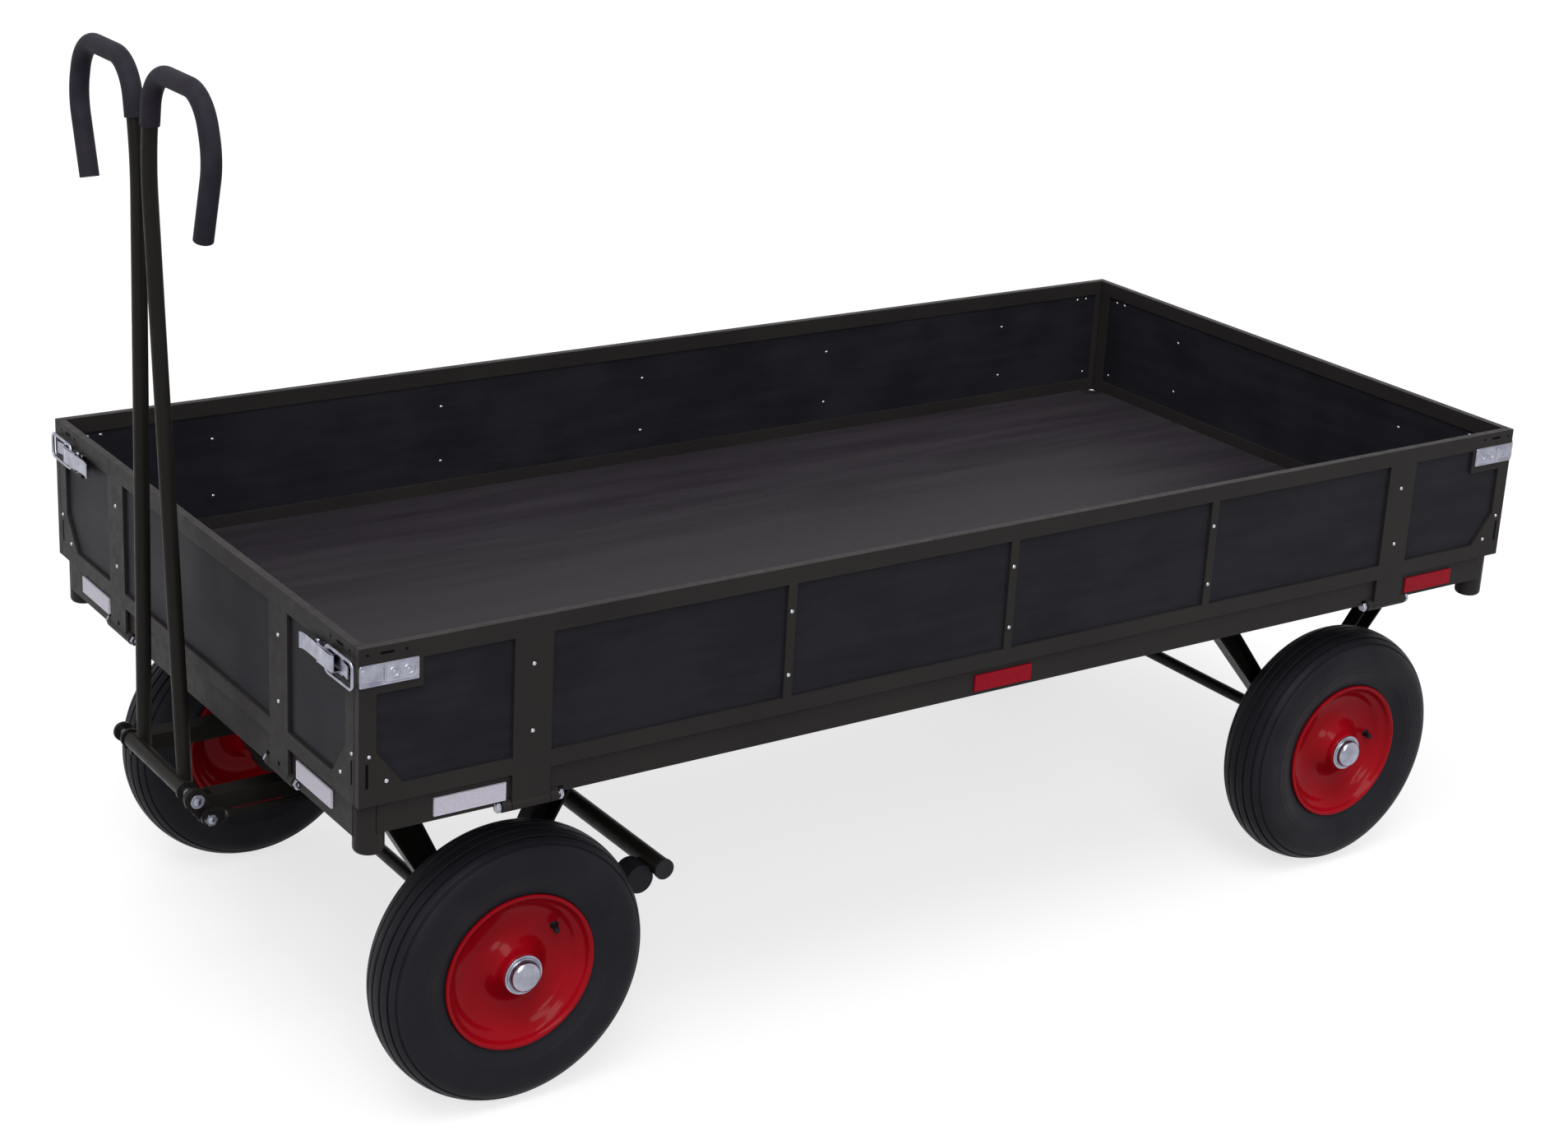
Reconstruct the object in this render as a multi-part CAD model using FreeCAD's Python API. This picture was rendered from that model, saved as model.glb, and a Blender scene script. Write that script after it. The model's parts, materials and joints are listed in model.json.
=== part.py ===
import FreeCAD, Part
import math
import os

os.makedirs("parts", exist_ok=True)
V = FreeCAD.Vector

# ---------------------------------------------------------------- driving dimensions (mm)
# Cart frame while drawing: X forward, Y to the left, Z up, X = 0 midway along the load box.
box_length = 2046.0         # over the closed drop walls
box_width = 1016.0
wheel_clear = 118.0         # bottom of the walls above the top of the tyres
wall_height = 213.0
wall_thick = 12.0
wall_gap = 1.5              # end wall to side wall, and wall to frame
panel_inset = 1.5           # plywood behind the inner face of the wall frame
strap_thick = 4.5
rail_top_h = 25.0
rail_low_h = 23.0
post_w = 24.0
ear_len = 88.0              # widened rail that carries the latch
ear_drop = 63.0
gusset_x = 62.0
gusset_z = 72.0
strap_w = 56.0
batten_w = 14.0
side_strap_x = 778.0
side_batten_x = 382.0
end_strap_y = 275.0
hinge_drop = 44.0           # pin below the bottom edge of the wall
hinge_pin_r = 4.0
knuckle_r = 8.5
hinge_half = 44.0           # half the length of a hinge pin
run_gap = 0.06              # radial running clearance at every pin
notch_gap = 2.0             # rail notch about a hinge

deck_rise = 3.0             # deck surface above the bottom of the walls
deck_thick = 12.0
deck_edge_gap = 1.5
side_rail_h = 40.0
end_rail_h = 49.0
rail_flange = 36.0
rail_wall = 4.0
cross_w = 40.0
cross_h = 30.0
tube_r = 20.5               # corner stake tubes
tube_bore_r = 14.2
tube_drop = 73.0            # end of the tubes below the walls

wheel_r = 200.0
tyre_w = 100.0
rim_r = 112.0
axle_r = 10.0
front_axle_x = 761.0
rear_axle_x = -772.0
track_half = 422.0
bead_r = 106.0
hub_r = 24.0
hub_short = 5.0             # hub inside the width of the tyre, each side
bead_in = 20.0              # bead inside the width of the tyre, each side
washer_r = 28.0
cap_r = 22.0
collar_r = 15.0
end_play = 1.0

ring_r = 190.0              # turntable
ring_w = 26.0
ring_gap = 0.4
ring_h = 22.0
king_r = 12.0
bolster_len = 660.0
bolster_w = 220.0
bolster_h = 22.0
plate_thick = 6.0

leg_y = 320.0
leg_depth = 26.0
leg_thick = 4.0
leg_top_w = 52.0
leg_low_w = 30.0
front_leg_x = 121.0
rear_leg_x = 238.0

pivot_out = 56.0            # drawbar pin ahead of the front wall
pivot_rise = 2.0            # and above the fork bars
pivot_pin_r = 8.0
cross_tube_r = 11.5
cross_tube_half = 92.0
drawbar_r = 10.65
foot_y = 71.0
foot_back = 10.0
foot_up = 14.0
lean_deg = 0.0
grip_r = 13.2
bar_top_y = 16.5            # tubes either side of the middle below the grips
hook_out = 208.0
hook_apex = 970.0           # above the pin
hook_end = 785.0

fork_in = 96.0
fork_w = 30.0
fork_spacer = 20.1          # blocks between fork and bolster
spacer_len = 50.0
fork_h = 24.0
ear_r = 14.0
lever_thick = 5.0
side_gap = 2.0
rod_pin_x = -15.0           # from the drawbar pin
rod_pin_z = -26.0
rod_pin_r = 5.0
rod_thick = 8.0
slot_half = 9.0
eye_wall = 3.0
head_r = 10.0               # bolt heads on the drawbar pin
head_h = 6.0

brake_drop = 121.1          # brake tube below its pivots
brake_r = 14.0
brake_half = 430.0
arm_thick = 6.0
pad_r = 21.0
pad_len = 34.0
pad_y = 401.0
pad_lead = 28.8             # pad ahead of the brake tube
pad_drop = 16.0             # and below it
pad_gap = 0.6

latch_drop = 37.0           # latch centre below the wall top
latch_h = 30.0
strike_len = 82.0
strike_thick = 3.0
lever_depth = 10.0

# ---------------------------------------------------------------- derived values
half_l = box_length / 2
half_w = box_width / 2
wheel_z = wheel_r
wall_bottom = 2 * wheel_r + wheel_clear
wall_top = wall_bottom + wall_height
in_l = half_l - wall_thick
in_w = half_w - wall_thick
frame_l = half_l - strap_thick - wall_gap
frame_w = half_w - strap_thick - wall_gap
frame_top = wall_bottom - wall_gap
deck_top = wall_bottom + deck_rise
deck_bottom = deck_top - deck_thick
cross_low = deck_bottom - cross_h
tube_bottom = wall_bottom - tube_drop
side_rail_low = frame_top - side_rail_h
end_rail_low = frame_top - end_rail_h
hinge_z = wall_bottom - hinge_drop
hinge_y = frame_w - 0.5
hinge_x = frame_l - 0.5
hub_half = tyre_w / 2 - hub_short
stub_end = track_half + tyre_w / 2 + 6.0
cap_end = stub_end + 6.0
ring_top = side_rail_low
ring_mid = ring_top - plate_thick - ring_h
bolster_top = ring_mid - ring_gap - ring_h
bolster_low = bolster_top - bolster_h
fork_top = bolster_low - fork_spacer
pivot_x = half_l + pivot_out
pivot_z = fork_top + pivot_rise
fork_out = fork_in + fork_w
lever_y = fork_out + side_gap
rod_y = lever_y + lever_thick + side_gap
arm_y = rod_y - side_gap                    # outer face of the brake arms
brake_pivot_z = bolster_low
brake_z = brake_pivot_z - brake_drop
pad_z = brake_z - pad_drop
pad_x = front_axle_x - math.sqrt((wheel_r + pad_gap + pad_r) ** 2 - (pad_z - wheel_z) ** 2)
brake_x = pad_x - pad_lead
lean = math.radians(lean_deg)
front_tip = pivot_x + hook_apex * math.sin(lean) + grip_r
rear_tip = half_l + strike_thick + lever_depth
shift_x = -(front_tip - rear_tip) / 2       # origin midway between the two ends


# ---------------------------------------------------------------- small helpers
def box(x0, x1, y0, y1, z0, z1):
    return Part.makeBox(x1 - x0, y1 - y0, z1 - z0, V(x0, y0, z0))


def cyl(r, p, q):
    d = V(*q) - V(*p)
    return Part.makeCylinder(r, d.Length, V(*p), d)


def ring(r_out, r_in, p, q):
    return cyl(r_out, p, q).cut(cyl(r_in, p, q))


def prism(points, vec):
    pts = [V(*p) for p in points]
    return Part.Face(Part.makePolygon(pts + [pts[0]])).extrude(V(*vec))


def join(shapes):
    out = shapes[0]
    if len(shapes) > 1:
        out = out.fuse(shapes[1:])
    return out.removeSplitter()


def mirror_y(shape):
    return shape.mirror(V(0, 0, 0), V(0, 1, 0))


def turn_z(shape, deg):
    out = shape.copy()
    out.rotate(V(0, 0, 0), V(0, 0, 1), deg)
    return out


def revolve_y(points, centre):
    """Turn an (offset along Y, radius) outline about the wheel axis."""
    pts = [V(centre[0], centre[1] + a, centre[2] + r) for a, r in points]
    face = Part.Face(Part.makePolygon(pts + [pts[0]]))
    return face.revolve(V(*centre), V(0, 1, 0), 360)


def rounded_path(points, radii):
    """Centre line through points with a fillet of the given radius at each inner point."""
    edges = []
    start = V(*points[0])
    for k in range(1, len(points) - 1):
        p, r = V(*points[k]), radii[k - 1]
        a = (V(*points[k - 1]) - p).normalize()
        b = (V(*points[k + 1]) - p).normalize()
        half = a.getAngle(b) / 2
        cut = r / math.tan(half)
        mid = (a + b).normalize()
        t1, t2 = p + a * cut, p + b * cut
        m = p + mid * (r / math.sin(half) - r)
        edges.append(Part.makeLine(start, t1))
        edges.append(Part.Arc(t1, m, t2).toShape())
        start = t2
    edges.append(Part.makeLine(start, V(*points[-1])))
    return Part.Wire(edges)


def sweep(wire, r_out):
    first = wire.Edges[0]
    tangent = first.tangentAt(first.FirstParameter)
    circle = Part.Wire(Part.makeCircle(r_out, wire.Edges[0].firstVertex(True).Point, tangent))
    return wire.makePipeShell([circle], True, False)


def save(name, shape):
    out = shape.copy()
    out.translate(V(shift_x, 0, 0))
    out.exportStep("parts/" + name + ".step")


# ---------------------------------------------------------------- base frame
def rail(length, low, out):
    """Channel rail along X, open inward, lip standing beside the deck."""
    web = box(-length, length, out - rail_wall, out, low, frame_top)
    top = box(-length, length, out - rail_flange, out - rail_wall,
              deck_bottom - rail_wall, deck_bottom)
    foot = box(-length, length, out - rail_flange, out - rail_wall, low, low + rail_wall)
    return web.fuse([top, foot])


corners = [(sx * (frame_l - tube_r), sy * (frame_w - tube_r)) for sx in (1, -1) for sy in (1, -1)]
side = rail(frame_l - tube_r, side_rail_low, frame_w)
end = turn_z(rail(frame_w - tube_r, end_rail_low, frame_l), -90)


def channel_y(x, low):
    """Channel between the flanges of the side rails, open below."""
    a, b, half = x - cross_w / 2, x + cross_w / 2, frame_w - rail_flange
    return join([box(a, b, -half, half, deck_bottom - rail_wall, deck_bottom),
                 box(a, a + rail_wall, -half, half, low, deck_bottom - rail_wall),
                 box(b - rail_wall, b, -half, half, low, deck_bottom - rail_wall)])


cross_x = [s * x for x in (side_strap_x, side_batten_x) for s in (1, -1)] + [0.0]
members = [channel_y(x, cross_low) for x in cross_x]
rearmost = max(rear_axle_x - rear_leg_x, rail_flange + cross_w / 2 - frame_l)
for x in (rearmost, rear_axle_x + rear_leg_x, front_axle_x - ring_r + 10, front_axle_x + ring_r - 10):
    members.append(channel_y(x, side_rail_low))
save("cross_members", Part.makeCompound(members))


def notch(u, out):
    half = hinge_half + notch_gap + 5
    return box(u - half, u + half, out - knuckle_r - notch_gap - 1, out + 1, end_rail_low - 10,
               hinge_z + knuckle_r + notch_gap)


notches = []
for u in (side_strap_x, -side_strap_x):
    notches += [notch(u, frame_w), mirror_y(notch(u, frame_w))]
for u in (end_strap_y, -end_strap_y):
    notches += [turn_z(notch(u, frame_l), 90), turn_z(notch(u, frame_l), -90)]
cuts = notches + [cyl(tube_r, (x, y, tube_bottom), (x, y, frame_top)) for x, y in corners]
side_rails = [r.cut(cuts) for r in (side, mirror_y(side))]
end_rails = [r.cut(cuts + side_rails) for r in (end, turn_z(end, 180))]
save("side_rails", Part.makeCompound([x for r in side_rails for x in r.Solids]))
save("end_rails", Part.makeCompound([x for r in end_rails for x in r.Solids]))

tubes = []
for x, y in corners:
    tube = cyl(tube_r, (x, y, tube_bottom), (x, y, frame_top))
    low = [e for e in tube.Edges if hasattr(e.Curve, "Radius") and e.Curve.Center.z < tube_bottom + 1]
    tube = tube.makeFillet(7.0, low)
    tubes.append(tube.cut(cyl(tube_bore_r, (x, y, tube_bottom + 6), (x, y, frame_top + 1))))
save("corner_tubes", Part.makeCompound(tubes))

deck = box(-(in_l - deck_edge_gap), in_l - deck_edge_gap, -(in_w - deck_edge_gap),
           in_w - deck_edge_gap, deck_bottom, deck_top)
deck = deck.cut([cyl(tube_r + 0.5, (x, y, deck_bottom - 1), (x, y, deck_top + 1)) for x, y in corners])
save("deck_panel", deck)

# ---------------------------------------------------------------- wall hinges on the frame
ear_gap = 1.0
knuckle_half = strap_w / 2
bracket_t = (hinge_half - 3.0) - knuckle_half - ear_gap


def hinge_pair(u, out):
    """Two bracket ears about a strap at u along the wall; wall faces +Y at distance out."""
    ears, y = [], out - 0.5
    low = hinge_z + knuckle_r + notch_gap
    for s in (1, -1):
        a = u + s * (knuckle_half + ear_gap)
        b = u + s * (hinge_half - 3.0)
        x0, x1 = min(a, b), max(a, b)
        ear = join([cyl(knuckle_r, (x0, y, hinge_z), (x1, y, hinge_z)),
                    box(x0, x1, y - knuckle_r, out, hinge_z, low)])
        ears.append(ear.cut(cyl(hinge_pin_r, (x0 - 1, y, hinge_z), (x1 + 1, y, hinge_z))))
    pin = join([cyl(hinge_pin_r, (u - hinge_half, y, hinge_z), (u + hinge_half, y, hinge_z)),
                cyl(6.5, (u - hinge_half - 5, y, hinge_z), (u - hinge_half, y, hinge_z)),
                cyl(6.5, (u + hinge_half, y, hinge_z), (u + hinge_half + 5, y, hinge_z))])
    return ears, pin


brackets, pins = [], []
for u in (side_strap_x, -side_strap_x):
    ears, pin = hinge_pair(u, frame_w)
    brackets += ears + [mirror_y(e) for e in ears]
    pins += [pin, mirror_y(pin)]
for u in (end_strap_y, -end_strap_y):
    ears, pin = hinge_pair(u, frame_l)
    for turn in (90, -90):
        brackets += [turn_z(e, turn) for e in ears]
        pins.append(turn_z(pin, turn))
save("hinge_brackets", Part.makeCompound(brackets))
save("hinge_pins", Part.makeCompound(pins))


# ---------------------------------------------------------------- drop walls
def wall_frame(half, straps, battens, out):
    """Wall facing +Y, frame and straps flush at distance out."""
    y0, y1 = out - wall_thick, out
    z0, z1 = wall_bottom, wall_top
    parts = [box(-half, half, y0, y1, z1 - rail_top_h, z1),
             box(-half, half, y0, y1, z0, z0 + rail_low_h),
             box(-half, -half + post_w, y0, y1, z0, z1),
             box(half - post_w, half, y0, y1, z0, z1)]
    ys = out - strap_thick
    for s in (1, -1):
        a, b = s * half, s * (half - ear_len)
        parts.append(box(min(a, b), max(a, b), ys, y1, z1 - ear_drop, z1))
        parts.append(prism([(s * (half - post_w), ys, z0), (s * (half - gusset_x), ys, z0),
                            (s * (half - gusset_x), ys, z0 + rail_low_h),
                            (s * (half - post_w), ys, z0 + gusset_z)], (0, strap_thick, 0)))
    for u in battens:
        parts.append(box(u - batten_w / 2, u + batten_w / 2, ys, y1, z0, z1))
    py = out - strap_thick - wall_gap - 0.5
    for u in straps:
        x0, x1 = u - strap_w / 2, u + strap_w / 2
        parts.append(box(x0, x1, ys, y1, hinge_z, z1))
        parts.append(cyl(knuckle_r, (x0, py, hinge_z), (x1, py, hinge_z)))
    shape = join(parts)
    clear = [cyl(hinge_pin_r + run_gap, (u - strap_w, py, hinge_z), (u + strap_w, py, hinge_z))
             for u in straps]
    return shape.cut(clear)


def wall_panel(half, out):
    return box(-half + post_w, half - post_w, out - wall_thick + panel_inset, out - strap_thick,
               wall_bottom + rail_low_h, wall_top - rail_top_h)


side_frame = wall_frame(half_l, (side_strap_x, -side_strap_x), (side_batten_x, 0, -side_batten_x), half_w)
end_half = in_w - wall_gap
end_frame = wall_frame(end_half, (end_strap_y, -end_strap_y), (), half_l)
side_panel = wall_panel(half_l, half_w)
end_panel = wall_panel(end_half, half_l)
latch_z = wall_top - latch_drop


def strikes(out):
    """Hooked strike plates at both ends of a side wall facing +Y."""
    parts = []
    for s in (1, -1):
        a, b = s * (half_l + 0.0), s * (half_l - strike_len)
        plate = box(min(a, b), max(a, b), out, out + strike_thick, latch_z - latch_h / 2,
                    latch_z + latch_h / 2)
        parts.append(plate)
    return Part.makeCompound(parts)


def latches(out):
    """Toggle latch bases and levers at both ends of an end wall facing +Y."""
    parts = []
    for s in (1, -1):
        a, b = s * (end_half - 70.0), s * (end_half - 8.0)
        base = box(min(a, b), max(a, b), out, out + strike_thick, latch_z - 12, latch_z + 12)
        a2, b2 = s * (end_half - 104.0), s * (end_half - 22.0)
        lever = box(min(a2, b2), max(a2, b2), out + strike_thick, out + strike_thick + lever_depth,
                    latch_z - 10, latch_z + 10)
        parts.append(join([base, lever]))
    return Part.makeCompound(parts)


sides = (("left", 0.0), ("right", 180.0))
for name, deg in sides:
    save("wall_frame_" + name, turn_z(side_frame, deg))
    save("wall_panel_" + name, turn_z(side_panel, deg))
    save("latch_strikes_" + name, turn_z(strikes(half_w), deg))
for name, deg in (("front", -90.0), ("rear", 90.0)):
    save("wall_frame_" + name, turn_z(end_frame, deg))
    save("wall_panel_" + name, turn_z(end_panel, deg))
    save("latches_" + name, turn_z(latches(half_l), deg))

# ---------------------------------------------------------------- reflectors
refl_l, refl_h, refl_t = 103.0, 25.0, 3.0
refl_z = frame_top - 21.0


def reflector(u, out):
    return box(u - refl_l / 2, u + refl_l / 2, out, out + refl_t, refl_z - refl_h / 2, refl_z + refl_h / 2)


white = [reflector(865.0, frame_w), mirror_y(reflector(865.0, frame_w))]
red = []
for x in (0.0, -871.0):
    red += [reflector(x, frame_w), mirror_y(reflector(x, frame_w))]
for y in (372.0, -372.0):
    white.append(turn_z(reflector(y, frame_l), -90))
    red.append(turn_z(reflector(y, frame_l), 90))
save("reflectors_white", Part.makeCompound(white))
save("reflectors_red", Part.makeCompound(red))


# ---------------------------------------------------------------- axle supports
def leg(x_top, x_low, z_top, y):
    """Channel leg, web in a vertical plane, flanges outward."""
    a, b = leg_top_w / 2, leg_low_w / 2
    outer = [(x_top - a, z_top), (x_top + a, z_top), (x_low + b, wheel_z), (x_low - b, wheel_z)]
    t = leg_thick
    solid = prism([(px, y, pz) for px, pz in outer], (0, leg_depth, 0))
    inner = [(x_top - a + t, z_top + 1), (x_top + a - t, z_top + 1), (x_low + b - t, wheel_z - 1),
             (x_low - b + t, wheel_z - 1)]
    return solid.cut(prism([(px, y + t, pz) for px, pz in inner], (0, leg_depth, 0)))


def legs(axle_x, spread, z_top, trim=()):
    parts = []
    for s in (1, -1):
        parts.append(leg(axle_x + s * spread, axle_x + s * 12.0, z_top, leg_y))
    parts.append(cyl(26.0, (axle_x, leg_y, wheel_z), (axle_x, leg_y + leg_depth, wheel_z)))
    shape = join(parts).cut([cyl(axle_r, (axle_x, 0, wheel_z), (axle_x, leg_y + 60, wheel_z))] + list(trim))
    return Part.makeCompound([shape, mirror_y(shape)])


def axle(axle_x):
    """Axle with a collar between each leg and hub."""
    parts = [cyl(axle_r, (axle_x, -stub_end, wheel_z), (axle_x, stub_end, wheel_z))]
    for s in (1, -1):
        parts.append(cyl(collar_r, (axle_x, s * (leg_y + leg_depth), wheel_z),
                         (axle_x, s * (track_half - hub_half - end_play), wheel_z)))
    return join(parts)


def caps(axle_x):
    """Thrust washer and domed push-on cap on each axle end."""
    face = track_half + tyre_w / 2 - 4.0
    out = []
    for s in (1, -1):
        washer = cyl(washer_r, (axle_x, s * face, wheel_z), (axle_x, s * (face + 3.0), wheel_z))
        dome = cyl(cap_r, (axle_x, s * (face + 3.0), wheel_z), (axle_x, s * cap_end, wheel_z))
        far = [e for e in dome.Edges if hasattr(e.Curve, "Center") and
               abs(abs(e.Curve.Center.y) - cap_end) < 0.1]
        piece = join([washer, dome.makeFillet(4.5, far)])
        out.append(piece.cut(cyl(axle_r, (axle_x, 0, wheel_z), (axle_x, s * stub_end, wheel_z))))
    return Part.makeCompound(out)


save("rear_axle", axle(rear_axle_x))
past_end = [box(-frame_l - 90, rail_flange + 6 - frame_l, 0, half_w, end_rail_low, side_rail_low + 9),
            box(-frame_l - 90, -frame_l, 0, half_w, end_rail_low - 90, side_rail_low + 9)]
save("rear_axle_legs", legs(rear_axle_x, rear_leg_x, side_rail_low, past_end))
save("rear_axle_caps", caps(rear_axle_x))
save("front_axle", axle(front_axle_x))
save("front_axle_legs", legs(front_axle_x, front_leg_x, bolster_low))
save("front_axle_caps", caps(front_axle_x))

# ---------------------------------------------------------------- turntable
fx = front_axle_x
upper = join([ring(ring_r + ring_w / 2, ring_r - ring_w / 2, (fx, 0, ring_mid), (fx, 0, ring_mid + ring_h)),
              cyl(ring_r + ring_w, (fx, 0, ring_mid + ring_h), (fx, 0, ring_top))])
upper = upper.cut(cyl(king_r + run_gap, (fx, 0, ring_mid - 1), (fx, 0, ring_top + 1)))
save("turntable_upper", upper)
low_top = ring_mid - ring_gap
save("turntable_lower", ring(ring_r + ring_w / 2, ring_r - ring_w / 2,
                             (fx, 0, bolster_top), (fx, 0, low_top)))
save("kingpin", cyl(king_r, (fx, 0, bolster_top), (fx, 0, cross_low - 0.5)))

t = plate_thick
bolster = join([
    box(fx - bolster_w / 2, fx + bolster_w / 2, -bolster_len / 2, bolster_len / 2, bolster_top - t, bolster_top),
    box(fx - bolster_w / 2, fx - bolster_w / 2 + t, -bolster_len / 2, bolster_len / 2, bolster_low, bolster_top),
    box(fx + bolster_w / 2 - t, fx + bolster_w / 2, -bolster_len / 2, bolster_len / 2, bolster_low, bolster_top)]
    + [box(fx - bolster_w / 2, fx + bolster_w / 2, s * bolster_len / 2 - (t if s > 0 else 0),
           s * bolster_len / 2 + (0 if s > 0 else t), bolster_low, bolster_top) for s in (1, -1)]
    + [box(fx - front_leg_x - leg_top_w / 2, fx + front_leg_x + leg_top_w / 2,
           s * (leg_y + leg_depth / 2) - 20, s * (leg_y + leg_depth / 2) + 20,
           bolster_low, bolster_low + t) for s in (1, -1)])
save("steering_bolster", bolster)

# ---------------------------------------------------------------- fork
fork = []
for s in (1, -1):
    y0, y1 = sorted((s * fork_in, s * fork_out))
    bar = box(fx - bolster_w / 2, pivot_x - 30, y0, y1, fork_top - fork_h, fork_top)
    bar = bar.cut(box(fx - bolster_w / 2 - 1, pivot_x - 34, y0 + 4, y1 - 4, fork_top - fork_h - 1, fork_top - 4))
    parts = [bar]
    for a in (fx - bolster_w / 2, fx + bolster_w / 2 - spacer_len):
        parts.append(box(a, a + spacer_len, y0, y1, fork_top, bolster_low))
    for a in (y0, y1 - 5):
        ear = join([box(pivot_x - 60, pivot_x, a, a + 5, fork_top - fork_h, fork_top),
                    cyl(ear_r, (pivot_x, a, pivot_z), (pivot_x, a + 5, pivot_z))])
        parts.append(ear)
    one = join(parts)
    fork.append(one.cut(cyl(pivot_pin_r + run_gap, (pivot_x, y0 - 1, pivot_z), (pivot_x, y1 + 1, pivot_z))))
fork.append(box(fx + bolster_w / 2, fx + bolster_w / 2 + 5, -fork_in, fork_in, fork_top - fork_h, fork_top))
save("drawbar_fork", join(fork))

# ---------------------------------------------------------------- drawbar
px, pz = pivot_x, pivot_z
foot = (px - foot_back, pz + foot_up)


def bar_path(s):
    top = [(px, s * bar_top_y, pz + 850), (px, s * (bar_top_y + 21.5), pz + hook_apex),
           (px, s * (hook_out - 12), pz + hook_apex), (px, s * (hook_out + 14), pz + 892),
           (px, s * 189.0, pz + hook_end)]
    return [(foot[0] + 0.0, s * foot_y, pz)] + top


def tilt(shape):
    out = shape.copy()
    out.rotate(V(px, 0, pz), V(0, 1, 0), lean_deg)
    return out


bars, grips = [], []
for s in (1, -1):
    pts = bar_path(s)
    wire = rounded_path(pts, (400.0, 58.0, 60.0, 90.0))
    bars.append(sweep(wire, drawbar_r))
    grips.append((s, wire))
cross = ring(cross_tube_r, pivot_pin_r, (px, -cross_tube_half, pz), (px, cross_tube_half, pz))
tubes_shape = join([cross] + [b.cut(cyl(pivot_pin_r, (px, -200, pz), (px, 200, pz))) for b in bars])
save("drawbar_tubes", tilt(tubes_shape))
for s, wire in grips:
    edges = wire.Edges[2:]
    part_wire = Part.Wire(edges)
    outer = sweep(part_wire, grip_r)
    grip = outer.cut(bars[0] if s > 0 else bars[1])
    save("grip_left" if s > 0 else "grip_right", tilt(grip))

pin = join([cyl(pivot_pin_r, (px, -(fork_out + 3), pz), (px, lever_y + lever_thick, pz)),
            cyl(head_r, (px, lever_y + lever_thick, pz), (px, lever_y + lever_thick + head_h, pz)),
            cyl(head_r, (px, -(fork_out + 1.5 + head_h), pz), (px, -(fork_out + 1.5), pz))])
save("drawbar_pin", pin)
rx, rz = px + rod_pin_x, pz + rod_pin_z
plate = join([cyl(16.0, (px, lever_y, pz), (px, lever_y + lever_thick, pz)),
              cyl(12.0, (rx, lever_y, rz), (rx, lever_y + lever_thick, rz)),
              prism([(px - 14, lever_y, pz + 4), (px + 15, lever_y, pz - 5), (rx + 10, lever_y, rz - 6),
                     (rx - 11, lever_y, rz + 3)], (0, lever_thick, 0))])
plate = plate.cut(cyl(pivot_pin_r, (px, lever_y - 1, pz), (px, lever_y + 20, pz)))
rod_bolt = join([cyl(rod_pin_r, (rx, lever_y + lever_thick, rz), (rx, rod_y + rod_thick + 1, rz)),
                 cyl(9.0, (rx, rod_y + rod_thick + 1, rz), (rx, rod_y + rod_thick + 7, rz))])
save("brake_lever", join([plate, rod_bolt]))

# ---------------------------------------------------------------- brake
bx, bp = brake_x, brake_pivot_z
rod_low = rz - 2.0
rod_len = rx - bx
y0, y1 = rod_y, rod_y + rod_thick
slot_r = rod_pin_r + 3.0
eye_r = slot_r + eye_wall
eye = join([cyl(eye_r, (rx, y0, rz), (rx, y1, rz)),
            box(rx - 2 * slot_half, rx, y0, y1, rz - eye_r, rz + eye_r),
            cyl(eye_r, (rx - 2 * slot_half, y0, rz), (rx - 2 * slot_half, y1, rz)),
            cyl(11.0, (bx, y0, rz), (bx, y1, rz)),
            box(bx, rx - 2 * slot_half, y0 + 1, y1 - 1, rz - 4, rz + 4)])
slot = join([cyl(slot_r, (rx, y0 - 1, rz), (rx, y1 + 1, rz)),
             box(rx - 2 * slot_half, rx, y0 - 1, y1 + 1, rz - slot_r, rz + slot_r),
             cyl(slot_r, (rx - 2 * slot_half, y0 - 1, rz), (rx - 2 * slot_half, y1 + 1, rz))])
slot = Part.makeCompound([slot, cyl(rod_pin_r + run_gap, (bx, y0 - 1, rz), (bx, y1 + 1, rz))])
save("brake_rod", eye.cut(slot))

tube = cyl(brake_r, (bx, -brake_half, brake_z), (bx, brake_half, brake_z))
arms = []
for s in (1, -1):
    y0, y1 = sorted((s * (arm_y - arm_thick), s * arm_y))
    arm = join([box(bx - 11, bx + 11, y0, y1, brake_z, bp),
                cyl(14.0, (bx, y0, bp), (bx, y1, bp))])
    arms.append(arm.cut([tube, cyl(6.0 + run_gap, (bx, y0 - 1, bp), (bx, y1 + 1, bp))]))
arm_pin = cyl(rod_pin_r, (bx, arm_y, rz), (bx, rod_y + rod_thick + 3, rz))
save("brake_tube", tube)
save("brake_arms", Part.makeCompound([join([arms[0], arm_pin]), arms[1]]))
caps_b, pads = [], []
for s in (1, -1):
    y0, y1 = sorted((s * brake_half, s * (brake_half + 5)))
    caps_b.append(cyl(brake_r + 1, (bx, y0, brake_z), (bx, y1, brake_z)))
    a0, a1 = sorted((s * (pad_y - pad_len / 2), s * (pad_y + pad_len / 2)))
    pad = cyl(pad_r, (pad_x, a0, pad_z), (pad_x, a1, pad_z))
    pads.append(pad.cut(tube))
save("brake_tube_caps", Part.makeCompound(caps_b))
save("brake_pads", Part.makeCompound(pads))

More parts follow.
